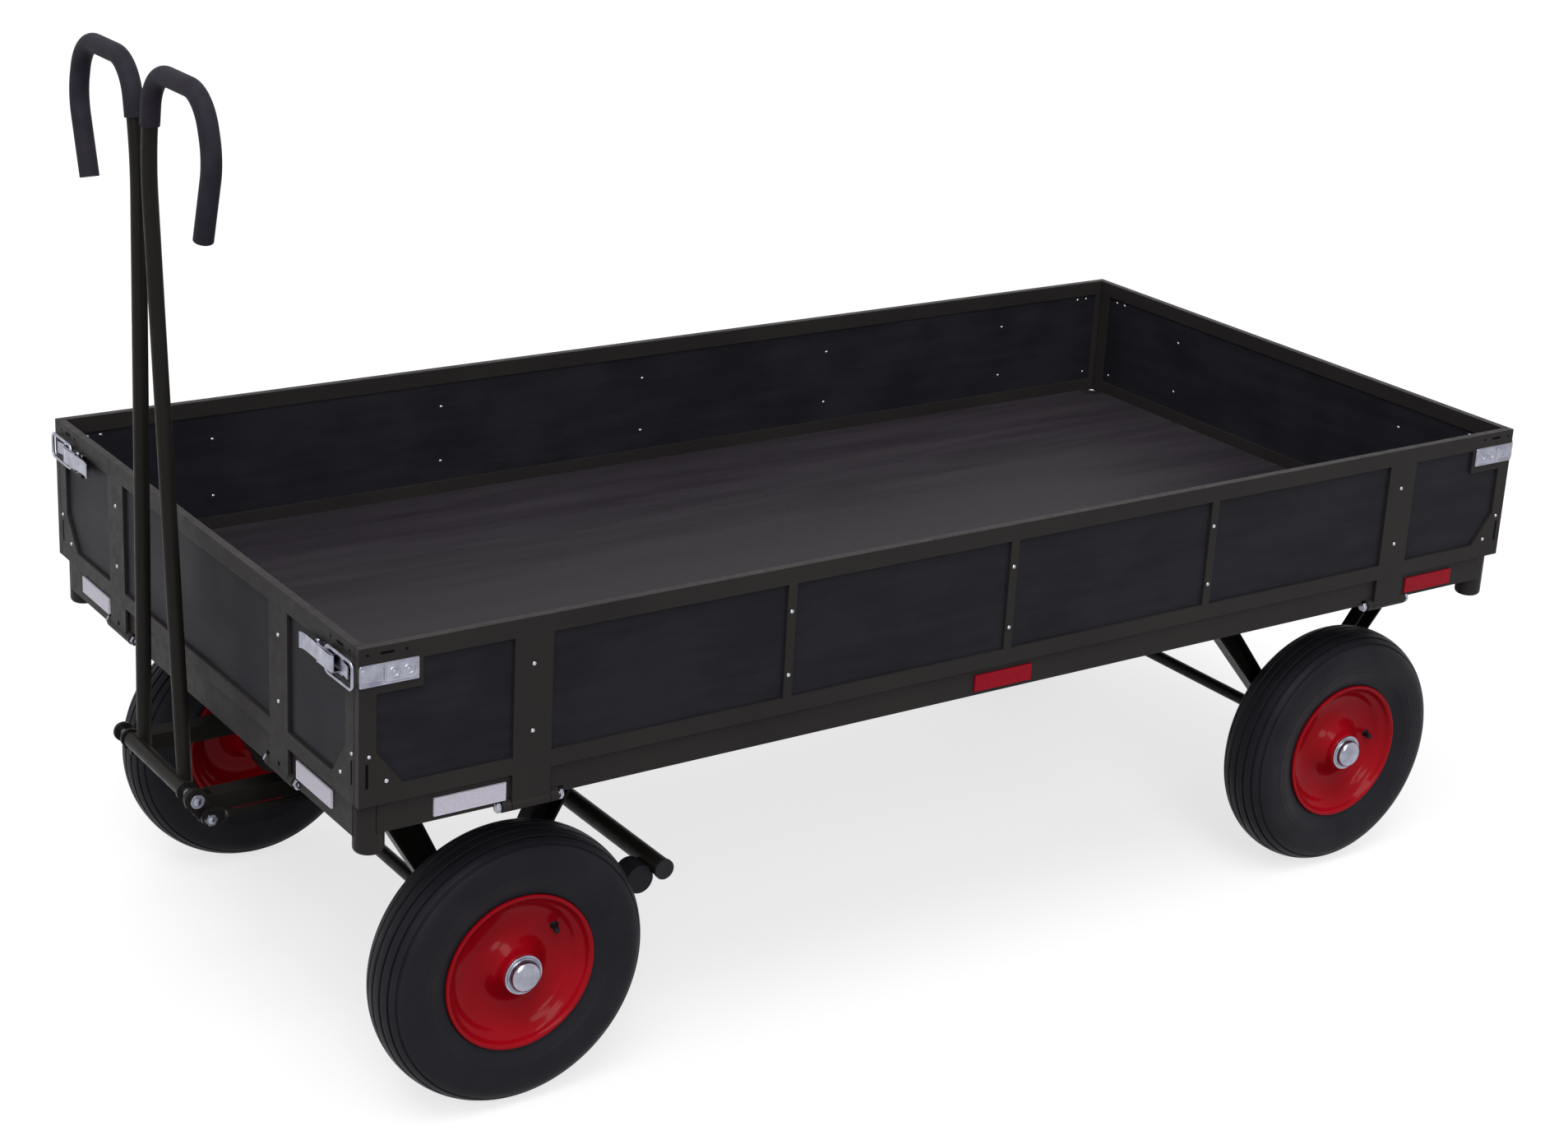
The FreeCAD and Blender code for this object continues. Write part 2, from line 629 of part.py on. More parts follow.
hanger = []
for s in (1, -1):
    y0, y1 = sorted((s * (arm_y + 2), s * (arm_y + 8)))
    if s > 0:
        y0, y1 = arm_y - 14, arm_y - 8
    lug = join([prism([(bx - 16, y0, bp), (bx + 16, y0, bp), (fx - bolster_w / 2, y0, bolster_low),
                       (fx - bolster_w / 2, y0, bolster_top), (bx + 40, y0, bolster_top)], (0, y1 - y0, 0)),
                cyl(16.0, (bx, y0, bp), (bx, y1, bp))])
    pin_y0, pin_y1 = (y0, arm_y + 3) if s > 0 else (-arm_y - 8, -arm_y + 9)
    hanger.append(join([lug, cyl(6.0, (bx, pin_y0, bp), (bx, pin_y1, bp))]))
save("brake_hangers", Part.makeCompound(hanger))


# ---------------------------------------------------------------- wheels
def tyre_shape(c):
    w, b, h = tyre_w / 2, bead_r, wheel_r
    f = w - bead_in
    half = [(-f, b), (-f - 5, rim_r), (-f - 8, rim_r + 1), (3 - w, b + 26), (-w, h - 48), (3 - w, h - 26),
            (12 - w, h - 10), (28 - w, h - 2), (42 - w, h)]
    return revolve_y(half + [(-a, r) for a, r in reversed(half)], c)


def rim_shape(c, s):
    b, f = bead_r, tyre_w / 2 - bead_in
    pts = [(-f, b), (-f - 5, rim_r), (-f - 8, rim_r + 1), (-f - 10, rim_r - 2), (-f - 3, b - 6), (4 - f, b - 12),
           (-12, b - 26), (-3, b - 30), (-3, 36), (-hub_half, hub_r), (-hub_half, axle_r + run_gap),
           (hub_half - 2, axle_r + run_gap), (hub_half - 2, hub_r), (10, 36), (4, 44), (4, b - 34), (14, b - 26),
           (f - 3, b - 12), (f + 3, b - 6), (f + 10, rim_r - 2), (f + 8, rim_r + 1), (f + 5, rim_r), (f, b)]
    return revolve_y([(s * a, r) for a, r in pts], c)


for name, x, s in (("front_left", fx, 1), ("front_right", fx, -1),
                   ("rear_left", rear_axle_x, 1), ("rear_right", rear_axle_x, -1)):
    c = (x, s * track_half, wheel_z)
    save("rim_" + name, rim_shape(c, s))
    save("tyre_" + name, tyre_shape(c))
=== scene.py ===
import json
import math

import bpy
from mathutils import Matrix, Vector


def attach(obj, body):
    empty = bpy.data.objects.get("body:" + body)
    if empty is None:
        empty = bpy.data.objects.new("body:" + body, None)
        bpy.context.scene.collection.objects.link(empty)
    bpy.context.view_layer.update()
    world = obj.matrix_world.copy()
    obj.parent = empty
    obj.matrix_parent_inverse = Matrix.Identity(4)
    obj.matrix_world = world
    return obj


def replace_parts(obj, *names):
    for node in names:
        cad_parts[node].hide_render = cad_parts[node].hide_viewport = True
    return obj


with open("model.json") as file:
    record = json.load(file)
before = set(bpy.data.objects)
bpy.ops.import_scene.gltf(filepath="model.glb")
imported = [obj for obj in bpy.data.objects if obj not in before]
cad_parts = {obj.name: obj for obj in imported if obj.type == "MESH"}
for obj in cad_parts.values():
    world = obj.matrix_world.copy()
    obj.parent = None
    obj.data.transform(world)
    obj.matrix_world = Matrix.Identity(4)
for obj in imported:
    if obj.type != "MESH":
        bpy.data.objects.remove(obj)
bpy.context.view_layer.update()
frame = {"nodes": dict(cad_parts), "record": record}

# ---------------------------------------------------------------- shared sizes
# Millimetres in the cart's own frame: X forward, Y left, Z up, x = 0 at mid load box.
# Build.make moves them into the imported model's frame and turns them into metres.
SHIFT = -28.1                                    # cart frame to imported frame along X
HALF_L, HALF_W = 1023.0, 508.0                   # outer faces of the end and side walls
WALL_T = 12.0                                    # side wall thickness beside an end wall
END_HALF = HALF_W - WALL_T - 1.5                 # half width of an end wall
INNER_FACE = 10.5                                # a wall's outer face to its panel's inner face
FRAME_L, FRAME_W = HALF_L - 6.0, HALF_W - 6.0    # outer faces of the chassis rails
SIDE_STRAP, END_STRAP = 778.0, 275.0             # hinge straps, from the middle of their wall
BATTEN = 382.0                                   # outer battens of a side wall
LATCH_Z, HINGE_Z = 694.0, 474.0
SLOT_Z, CORNER_SLOT_Z, STRAP_HOLE_Z = 721.5, 560.0, 486.0
FX, RX, TRACK, WZ = 761.0, -772.0, 422.0, 200.0  # axles along X, wheel centre across and up
PX, PZ = 1079.0, 386.0                           # drawbar pin
PIN_LEFT, PIN_RIGHT = 133.0, -127.5              # faces that the drawbar pin's heads sit on
ROD_PIN_DX, ROD_PIN_DZ, ROD_PIN_Y = 15.0, 26.0, 144.0
BOLT_RING, BOLT_RING_Z = 209.5, 470.4            # turntable bolts
VALVE_R = 78.0                                   # valve stem from the wheel's centre


# ---------------------------------------------------------------- materials
def lin(c):
    """An 8-bit sRGB colour as linear RGBA."""
    unit = [v / 255 for v in c]
    return tuple(v / 12.92 if v <= 0.04045 else ((v + 0.055) / 1.055) ** 2.4 for v in unit) + (1.0,)


class Mat:
    """Small helper that chains shader nodes onto a Principled shader."""

    def __init__(self, name, color, rough=0.5, metal=0.0, spec=0.5, coat=0.0, coat_rough=0.1):
        self.m = bpy.data.materials.new(name)
        self.m.use_nodes = True
        self.t = self.m.node_tree
        self.p = self.t.nodes["Principled BSDF"]
        self.p.inputs["Base Color"].default_value = lin(color)
        self.p.inputs["Roughness"].default_value = rough
        self.p.inputs["Metallic"].default_value = metal
        self.p.inputs["Specular IOR Level"].default_value = spec
        self.p.inputs["Coat Weight"].default_value = coat
        self.p.inputs["Coat Roughness"].default_value = coat_rough
        self.co = self.t.nodes.new("ShaderNodeTexCoord").outputs["Object"]
        self.normal = None

    def node(self, kind, inputs=(), **attrs):
        n = self.t.nodes.new(kind)
        for k, v in attrs.items():
            setattr(n, k, v)
        for k, v in dict(inputs).items():
            if isinstance(v, bpy.types.NodeSocket):
                self.t.links.new(v, n.inputs[k])
            else:
                n.inputs[k].default_value = v
        return n

    def scaled(self, sx, sy, sz):
        n = self.node("ShaderNodeMapping", {"Vector": self.co})
        n.inputs["Scale"].default_value = (sx, sy, sz)
        return n.outputs[0]

    def noise(self, scale, detail=3.0, rough=0.5, vec=None):
        return self.node("ShaderNodeTexNoise", {"Vector": vec or self.co, "Scale": scale, "Detail": detail,
                                                "Roughness": rough}).outputs["Fac"]

    def ramp(self, fac, stops):
        n = self.node("ShaderNodeValToRGB", {"Fac": fac})
        e = n.color_ramp.elements
        e[0].position, e[0].color = stops[0][0], lin(stops[0][1])
        e[1].position, e[1].color = stops[-1][0], lin(stops[-1][1])
        for pos, c in stops[1:-1]:
            x = e.new(pos)
            x.color = lin(c)
        return n.outputs["Color"]

    def span(self, fac, lo, hi, a=0.3, b=0.7):
        return self.node("ShaderNodeMapRange", {"Value": fac, "From Min": a, "From Max": b, "To Min": lo,
                                                "To Max": hi}).outputs["Result"]

    def color(self, sock):
        self.t.links.new(sock, self.p.inputs["Base Color"])
        return self

    def rough(self, sock):
        self.t.links.new(sock, self.p.inputs["Roughness"])
        return self

    def round_edges(self, radius):
        n = self.t.nodes.new("ShaderNodeBevel")
        n.samples = 6
        n.inputs["Radius"].default_value = radius
        self.normal = n.outputs["Normal"]
        return self

    def bump(self, height, strength, distance):
        n = self.node("ShaderNodeBump", {"Height": height, "Strength": strength, "Distance": distance})
        if self.normal is not None:
            self.t.links.new(self.normal, n.inputs["Normal"])
        self.normal = n.outputs["Normal"]
        return self

    def done(self):
        if self.normal is not None:
            self.t.links.new(self.normal, self.p.inputs["Normal"])
        return self.m


def painted(name, dark, light, rough, spec, edge=0.0012):
    """Black paint on steel: softened edges, slow changes of tone and a fine grain."""
    m = Mat(name, dark, rough, spec=spec)
    m.round_edges(edge)
    broad = m.noise(4.0, 4.0)
    m.color(m.ramp(broad, [(0.30, dark), (0.70, light)]))
    m.rough(m.span(m.noise(60.0, 3.0), rough - 0.05, rough + 0.07))
    m.bump(m.noise(700.0, 2.0), 0.10, 0.0004)
    return m.done()


M = {}
M["paint"] = painted("paint_black", (39, 36, 36), (46, 43, 42), 0.42, 0.07)
M["axle"] = painted("paint_axle", (24, 23, 21), (30, 28, 26), 0.38, 0.09, 0.0006)

panel = Mat("panel_film", (34, 33, 39), 0.38, spec=0.05)
panel.round_edges(0.0006)
grain = panel.noise(6.0, 5.0, 0.6, panel.scaled(1.0, 1.0, 7.0))
blotch = panel.noise(9.0, 3.0)
both = panel.node("ShaderNodeMath", {0: grain, 1: blotch}, operation="ADD").outputs[0]
panel.color(panel.ramp(panel.span(both, 0.0, 1.0, 0.7, 1.3), [(0.2, (31, 30, 35)), (0.8, (38, 37, 43))]))
panel.rough(panel.span(blotch, 0.36, 0.50))
panel.bump(panel.noise(420.0, 3.0), 0.12, 0.0003)
M["panel"] = panel.done()

deck = Mat("deck_film", (30, 27, 30), 0.46, spec=0.12)
streak = deck.noise(5.0, 5.0, 0.6, deck.scaled(0.5, 5.0, 1.0))
deck.color(deck.ramp(streak, [(0.25, (36, 32, 37)), (0.55, (44, 40, 45)), (0.8, (50, 46, 50))]))
wire_a = deck.node("ShaderNodeTexWave", {"Vector": deck.co, "Scale": 55.0, "Distortion": 0.0},
                   bands_direction="X").outputs["Fac"]
wire_b = deck.node("ShaderNodeTexWave", {"Vector": deck.co, "Scale": 55.0, "Distortion": 0.0},
                   bands_direction="Y").outputs["Fac"]
mesh = deck.node("ShaderNodeMath", {0: wire_a, 1: wire_b}, operation="MULTIPLY").outputs[0]
deck.rough(deck.span(streak, 0.40, 0.55))
deck.bump(mesh, 0.22, 0.0006)
M["deck"] = deck.done()

tyre = Mat("tyre_rubber", (31, 31, 36), 0.50, spec=0.08)
tyre.color(tyre.ramp(tyre.noise(14.0, 4.0), [(0.3, (29, 29, 34)), (0.7, (35, 35, 40))]))
tyre.rough(tyre.span(tyre.noise(30.0, 3.0), 0.42, 0.56))
tyre.bump(tyre.noise(900.0, 2.0), 0.12, 0.0003)
M["tyre"] = tyre.done()

red = Mat("rim_enamel", (150, 8, 22), 0.30, spec=0.03, coat=0.10, coat_rough=0.04)
red.color(red.ramp(red.noise(8.0, 2.0), [(0.3, (142, 6, 20)), (0.7, (155, 9, 24))]))
red.bump(red.noise(240.0, 2.0), 0.05, 0.0003)
M["red"] = red.done()

grip = Mat("grip_foam", (38, 35, 43), 0.70, spec=0.12)
grip.color(grip.ramp(grip.noise(40.0, 3.0), [(0.3, (36, 33, 41)), (0.7, (45, 42, 51))]))
grip.bump(grip.noise(650.0, 2.0), 0.35, 0.0008)
M["grip"] = grip.done()

pad = Mat("brake_rubber", (27, 27, 32), 0.5, spec=0.12)
pad.bump(pad.noise(500.0, 2.0), 0.15, 0.0004)
M["pad"] = pad.done()

zinc = Mat("zinc_plate", (150, 151, 164), 0.26, metal=1.0)
zinc.round_edges(0.0005)
zinc.color(zinc.ramp(zinc.noise(60.0, 2.0), [(0.3, (138, 139, 153)), (0.7, (166, 168, 181))]))
zinc.rough(zinc.span(zinc.noise(150.0, 3.0), 0.18, 0.30))
M["zinc"] = zinc.done()

rivet = Mat("rivet_alu", (178, 178, 186), 0.22, metal=1.0)
M["rivet"] = rivet.done()
# Near-black patches laid flat on the walls over slots and holes: painted shade standing in for the openings.
M["opening_shade"] = Mat("painted_opening_shade", (10, 10, 10), 0.9, spec=0.05).done()
M["plastic"] = Mat("cap_plastic", (32, 32, 36), 0.45, spec=0.15).done()


def reflector(name, dark, light):
    """Moulded lens with small cells; the colour runs from light in each cell's middle to dark at its edges, painted
    shade in the grooves between the cells.
    """
    m = Mat(name, light, 0.18, spec=0.05, coat=0.06, coat_rough=0.05)
    cell = m.node("ShaderNodeTexVoronoi", {"Vector": m.co, "Scale": 320.0, "Randomness": 0.15})
    # Cell distance drives the colour: painted shade darkening each cell towards its edges.
    m.color(m.ramp(cell.outputs["Distance"], [(0.15, light), (0.75, dark)]))
    m.bump(cell.outputs["Distance"], 0.5, 0.0008)
    return m.done()


M["white_lens"] = reflector("reflector_clear", (192, 187, 201), (232, 228, 240))
M["red_lens"] = reflector("reflector_ruby", (134, 4, 24), (186, 8, 38))

SLOT_MAT = {"black_paint": "paint", "panel_black": "panel", "deck_ply": "deck", "rim_red": "red",
            "tyre_rubber": "tyre", "grip_foam": "grip", "pad_rubber": "pad", "zinc": "zinc",
            "reflector_white": "white_lens", "reflector_red": "red_lens", "cap_plastic": "plastic"}
slots = {s["node"]: s["material_slot"] for s in frame["record"]["subparts"]}
for name, obj in frame["nodes"].items():
    obj.data.materials.clear()
    key = SLOT_MAT[slots[name]]
    darker = key == "paint" and name.startswith(("drawbar", "brake", "front_axle", "rear_axle", "steering"))
    obj.data.materials.append(M["axle" if darker else key])


# ---------------------------------------------------------------- mesh builder (mm in, metres out)
class Build:
    """Collects shapes in millimetres and makes one object of them."""

    def __init__(self):
        self.v, self.f = [], []

    def add(self, verts, faces, mat=None):
        n = len(self.v)
        for p in verts:
            self.v.append(mat @ Vector(p) if mat is not None else Vector(p))
        self.f += [tuple(i + n for i in face) for face in faces]
        return self

    def make(self, name, mat, body, smooth=35.0):
        me = bpy.data.meshes.new(name)
        me.from_pydata([tuple((p + Vector((SHIFT, 0, 0))) / 1000) for p in self.v], [], self.f)
        me.validate()
        me.update()
        ob = bpy.data.objects.new(name, me)
        bpy.context.scene.collection.objects.link(ob)
        me.materials.append(M[mat])
        for poly in me.polygons:
            poly.use_smooth = True
        if smooth < 180:
            me.set_sharp_from_angle(angle=math.radians(smooth))
        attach(ob, body)
        return ob


def along(p, d, up=(0, 0, 1)):
    """Matrix whose local Z runs along d from p."""
    z = Vector(d).normalized()
    x = Vector(up).cross(z)
    if x.length < 1e-6:
        x = Vector((1, 0, 0))
    x.normalize()
    y = z.cross(x)
    return Matrix(((x.x, y.x, z.x, p[0]), (x.y, y.y, z.y, p[1]), (x.z, y.z, z.z, p[2]), (0, 0, 0, 1)))


def lathe(profile, n, closed=False):
    """Profile of (radius, height) turned about local Z."""
    v, f = [], []
    m = len(profile)
    for k in range(n):
        a = 2 * math.pi * k / n
        v += [(r * math.cos(a), r * math.sin(a), h) for r, h in profile]
    last = m if closed else m - 1
    for k in range(n):
        for j in range(last):
            a, b = k * m + j, k * m + (j + 1) % m
            c, d = ((k + 1) % n) * m + (j + 1) % m, ((k + 1) % n) * m + j
            f.append((a, d, c, b))
    return v, f


def dome(r, h, n=14):
    """Round head of radius r and height h."""
    prof = [(r, -0.4)] + [(r * math.cos(t), h * math.sin(t)) for t in (0.0, 0.45, 0.9, 1.3)] + [(0.02, h)]
    return lathe(prof, n)


def hexagon(r, h, chamfer=0.8):
    """Hex head: across corners 2r, height h, chamfered top."""
    v, f = [], []
    for z, s in ((0, 1), (h - chamfer, 1), (h, 1 - chamfer * 0.9 / r)):
        for k in range(6):
            a = math.radians(60 * k)
            v.append((s * r * math.cos(a), s * r * math.sin(a), z))
    for z in (0, 1):
        for k in range(6):
            a, b = z * 6 + k, z * 6 + (k + 1) % 6
            f.append((a, b, b + 6, a + 6))
    f.append(tuple(range(12, 18)))
    f.append(tuple(range(5, -1, -1)))
    return v, f


def corners(u0, u1, w0, w1, r):
    """Centres of a rectangle's four corner arcs, each with its first angle."""
    return (u1 - r, w1 - r, 0), (u0 + r, w1 - r, 90), (u0 + r, w0 + r, 180), (u1 - r, w0 + r, 270)


def slab(u0, u1, w0, w1, h0, h1, r=1.2, c=0.5, n=4):
    """Plate in local XY with rounded corners of radius r, chamfered c, from z=h0 to h1."""
    v, f = [], []
    r = min(r, (u1 - u0) / 2 - 1e-3, (w1 - w0) / 2 - 1e-3)
    for inset, z in ((0, h0), (0, h1 - c), (c, h1)):
        for cx, cy, a0 in corners(u0, u1, w0, w1, r):
            for k in range(n + 1):
                a = math.radians(a0 + 90 * k / n)
                q = max(r - inset, 0.01)
                v.append((cx + q * math.cos(a), cy + q * math.sin(a), z))
    m = 4 * (n + 1)
    for z in (0, 1):
        for k in range(m):
            a, b = z * m + k, z * m + (k + 1) % m
            f.append((a, b, b + m, a + m))
    f.append(tuple(range(2 * m, 3 * m)))
    f.append(tuple(range(m - 1, -1, -1)))
    return v, f


def rod(points, r, closed=False, n=12):
    """Round rod along a polyline (points already rounded)."""
    pts = [Vector(p) for p in points]
    m = len(pts)
    v, f = [], []
    prev = None
    for i, p in enumerate(pts):
        a = pts[(i - 1) % m] if (closed or i > 0) else p
        b = pts[(i + 1) % m] if (closed or i < m - 1) else p
        t = (b - a).normalized()
        if prev is None:
            x = t.orthogonal().normalized()
        else:
            x = (prev - t * prev.dot(t)).normalized()
        prev = x
        y = t.cross(x)
        for k in range(n):
            ang = 2 * math.pi * k / n
            v.append(tuple(p + (x * math.cos(ang) + y * math.sin(ang)) * r))
    last = m if closed else m - 1
    for i in range(last):
        for k in range(n):
            a, b = i * n + k, i * n + (k + 1) % n
            j = (i + 1) % m
            f.append((a, b, j * n + (k + 1) % n, j * n + k))
    if not closed:
        f.append(tuple(range(n - 1, -1, -1)))
        f.append(tuple((m - 1) * n + k for k in range(n)))
    return v, f


def round_rect(u0, u1, w0, w1, r, h, n=6):
    """Rounded rectangle as a closed line of points, at distance h outward."""
    pts = []
    for cx, cy, a0 in corners(u0, u1, w0, w1, r):
        for k in range(n + 1):
            a = math.radians(a0 + 90 * k / n)
            pts.append((cx + r * math.cos(a), h, cy + r * math.sin(a)))
    return pts


def ribbon(path, thick, w0, w1):
    """Bent sheet: path of (u, y) points, thickness outward, spanning w0..w1 in local Z."""
    v, f = [], []
    pts = [Vector((a, b, 0)) for a, b in path]
    for i, p in enumerate(pts):
        a = pts[max(i - 1, 0)]
        b = pts[min(i + 1, len(pts) - 1)]
        t = (b - a).normalized()
        nrm = Vector((-t.y, t.x, 0))
        for q in (p, p + nrm * thick):
            v += [(q.x, q.y, w0), (q.x, q.y, w1)]
    for i in range(len(pts) - 1):
        a, b = 4 * i, 4 * (i + 1)
        for p, q in ((0, 1), (1, 3), (3, 2), (2, 0)):
            f.append((a + p, a + q, b + q, b + p))
    f.append((0, 2, 3, 1))
    e = 4 * (len(pts) - 1)
    f.append((e, e + 1, e + 3, e + 2))
    return v, f


def turn(deg):
    return Matrix.Rotation(math.radians(deg), 4, "Z")


# ---------------------------------------------------------------- walls: rivets, slots drawn as painted shade, latches
RIVET_Z = (667.0, 574.5)


def flat_at(out, z):
    """Local X along the wall, local Z outward, at height z on its outer face."""
    return Matrix(((1, 0, 0, 0), (0, 0, 1, out), (0, -1, 0, z), (0, 0, 0, 1)))


def wall_trim(name, body, deg, half, out, straps, battens):
    """Rivet heads of one wall, and flat near-black patches over its slots and holes as painted shade in the openings;
    the wall's half length is half and its outer face is at out.
    """
    place = turn(deg)
    side_wall = half > 600
    face = out - INNER_FACE
    # spot, hole and the thin slabs below are flat near-black patches on the outer face: painted shade in place of the
    # slot and hole openings.
    spot = lathe([(0.01, 0.15), (1.9, 0.15), (1.9, -0.2)], 12)
    heads, shade_patches = Build(), Build()

    def outside(u, z, r=3.1, h=1.6, y=out):
        heads.add(*dome(r, h), place @ along((u, y, z), (0, 1, 0)))

    def inside(u, z, r=3.1, h=1.6):
        heads.add(*dome(r, h), place @ along((u, face, z), (0, -1, 0)))

    for u in tuple(straps) + tuple(battens):
        for z in RIVET_Z:
            outside(u, z)
            inside(u, z)
    edge, slot_u = (14.0, 11.0) if side_wall else (6.5, 6.6)
    for s in (1, -1):
        outside(s * (half - edge), 586.0, 2.8)
        outside(s * (half - 38.0), 549.0)
        inside(s * (half - 38.0), 556.0)
        for d in (45.0, 66.0):
            inside(s * (half - d), 699.0)
        for d in (11.5, 65.0):
            shade_patches.add(*spot, place @ along((s * (half - d), out, SLOT_Z), (0, 1, 0)))
        a, b = sorted((s * (half - 29), s * (half - 48)))
        shade_patches.add(*slab(a, b, -1.8, 1.8, -0.2, 0.15, 1.7, 0.05), place @ flat_at(out, SLOT_Z))
        u = s * (half - slot_u)
        shade_patches.add(*slab(u - 2.0, u + 2.0, -17.0, 17.0, -0.2, 0.15, 1.9, 0.05),
                 place @ flat_at(out, CORNER_SLOT_Z))
    if not side_wall:
        hole = lathe([(0.01, 0.15), (3.6, 0.15), (3.6, -0.2)], 20)
        for u in straps:
            shade_patches.add(*hole, place @ along((u, out, STRAP_HOLE_Z), (0, 1, 0)))
    heads.make("rivets_" + name, "rivet", body)
    shade_patches.make("slot_shade_" + name, "opening_shade", body)


def latch(b, s, half, out, place):
    """Toggle latch at the end s of an end wall: base, bent lever, bail and hook bracket."""
    def at(u):
        return s * (half - u)

    def put(shape, m=None):
        b.add(*shape, place @ m if m is not None else place)

    flat = flat_at(out, LATCH_Z)
    u0, u1 = sorted((at(98), at(26)))
    put(slab(u0, u1, -13, 13, 0, 2.2, 4, 0.5), flat)
    for w in (-13.0, 11.4):
        a0, a1 = sorted((at(86), at(42)))
        put(slab(a0, a1, w, w + 1.6, 2.0, 9.0, 0.7, 0.2), flat)
    lever = [(134, 9.0), (129, 6.4), (118, 5.6), (96, 6.2), (80, 7.4), (66, 8.4), (54, 9.2), (46, 8.6), (42, 6.0)]
    put(ribbon([(at(u), out + h) for u, h in lever][::s], 2.0, LATCH_Z - 11.0, LATCH_Z + 11.0))
    lo, hi = sorted((at(66), at(-8.0)))
    put(rod(round_rect(lo, hi, LATCH_Z - 18, LATCH_Z + 18, 8, out + 6.0), 2.3, True))
    for u in (62.0, 90.0):
        put(rod([(at(u), out + 4.2, LATCH_Z - 14.5), (at(u), out + 4.2, LATCH_Z + 14.5)], 2.4))
        for w in (-14.5, 14.5):
            put(dome(3.6, 1.6), along((at(u), out + 4.2, LATCH_Z + w), (0, 0, 1 if w > 0 else -1)))
    hook = [(30, 1.0), (22, 1.4), (14, 2.6), (8, 3.4)]
    put(ribbon([(at(u), out + h) for u, h in hook][::s], 1.8, LATCH_Z - 9.0, LATCH_Z + 9.0))


def strike(b, s, half, out, place):
    """Ribbed strike plate at the end s of a side wall, with a raised pad near the corner and two round embossments
    with rivets.
    """
    def at(u):
        return s * (half - u)

    flat = flat_at(out, LATCH_Z)
    u0, u1 = sorted((at(82), at(0)))
    b.add(*slab(u0, u1, -15, 15, 0, 1.6, 2.5, 0.5), place @ flat)
    for w in (-14.2, 11.8):
        b.add(*slab(u0 + 0.8, u1 - 0.8, w, w + 2.4, 1.4, 2.9, 1.1, 0.6), place @ flat)
    for u in (81.2, 36.0):
        x0, x1 = sorted((at(u), at(u - 2.4)))
        b.add(*slab(x0, x1, -13.0, 13.0, 1.4, 2.7, 1.0, 0.6), place @ flat)
    x0, x1 = sorted((at(33.0), at(3.0)))
    b.add(*slab(x0, x1, -9.5, 9.5, 1.4, 2.3, 3.0, 0.7), place @ flat)
    for u in (48.0, 68.0):
        b.add(*lathe([(8.4, 1.4), (7.6, 2.2), (6.6, 2.7), (5.2, 2.7), (4.4, 1.9), (0.1, 1.9)], 24),
              place @ flat @ Matrix.Translation((at(u), 0, 0)))
        b.add(*dome(3.0, 1.1), place @ along((at(u), out + 1.9, LATCH_Z), (0, 1, 0)))


ends = (("front", "wall_front", -90.0), ("rear", "wall_rear", 90.0))
sides = (("left", "wall_left", 0.0), ("right", "wall_right", 180.0))
for name, body, deg in sides:
    wall_trim("wall_" + name, body, deg, HALF_L, HALF_W, (SIDE_STRAP, -SIDE_STRAP),
              (BATTEN, 0.0, -BATTEN))
    b = Build()
    for s in (1, -1):
        strike(b, s, HALF_L, HALF_W, turn(deg))
    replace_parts(b.make("strikes_" + name, "zinc", body, 30), "latch_strikes_" + name)
for name, body, deg in ends:
    wall_trim("wall_" + name, body, deg, END_HALF, HALF_L, (END_STRAP, -END_STRAP), ())
    b = Build()
    for s in (1, -1):
        latch(b, s, END_HALF, HALF_L, turn(deg))
    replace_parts(b.make("toggle_latches_" + name, "zinc", body, 40), "latches_" + name)

# ---------------------------------------------------------------- hinge bolt heads
bolts = Build()
spots = [(u, FRAME_W - 0.5, d) for u in (SIDE_STRAP, -SIDE_STRAP) for d in (0.0, 180.0)]
spots += [(u, FRAME_L - 0.5, d) for u in (END_STRAP, -END_STRAP) for d in (90.0, -90.0)]
for u, y, d in spots:
    for s in (1, -1):
        m = turn(d) @ along((u + s * 43.9, y, HINGE_Z), (s, 0, 0))
        bolts.add(*hexagon(7.9, 5.0), m)
        bolts.add(*dome(3.2, 1.0), turn(d) @ along((u + s * 48.7, y, HINGE_Z), (s, 0, 0)))
bolts.make("hinge_bolt_heads", "zinc", "chassis", 30)


# ---------------------------------------------------------------- wheels
def tyre_section():
    """Half outline by angle, grooves cut along the tread; list of (radius, offset)."""
    def skin(k):
        c = max(math.cos(k), 0.0)
        return 158.0 + 41.6 * c ** 0.72, 49.6 * math.sin(k)

    pts = []
    grooves = [math.radians(g) for g in (0, 19, 38, 56)]
    both_sides = sorted({-g for g in grooves} | set(grooves))
    k, step = -math.pi / 2, math.radians(3.0)
    while k <= math.pi / 2 + 1e-6:
        near = min(abs(k - g) for g in both_sides)
        if near > math.radians(3.4):
            pts.append((k, 0.0))
        k += step
    for g in both_sides:
        deep = 3.2 if abs(g) < 0.9 else 2.4
        for d, depth in ((-3.0, 0.0), (-2.2, 0.5), (-1.3, deep), (1.3, deep), (2.2, 0.5), (3.0, 0.0)):
            pts.append((g + math.radians(d), depth))
    pts.sort()
    out = []
    for k, depth in pts:
        r, y = skin(k)
        n = Vector((math.cos(k), math.sin(k) * 0.9)).normalized()
        out.append((r - n.x * depth, y - n.y * depth))
    low = [(154.0, 49.9), (151.0, 49.3), (148.5, 49.9), (145.0, 49.2), (139.0, 47.6), (137.4, 47.7),
           (136.0, 46.8), (129.0, 44.0), (122.0, 41.0), (117.0, 39.0), (114.5, 38.6), (113.0, 36.5), (109.0, 35.4)]
    return [(r, -y) for r, y in low[::-1]] + out + low


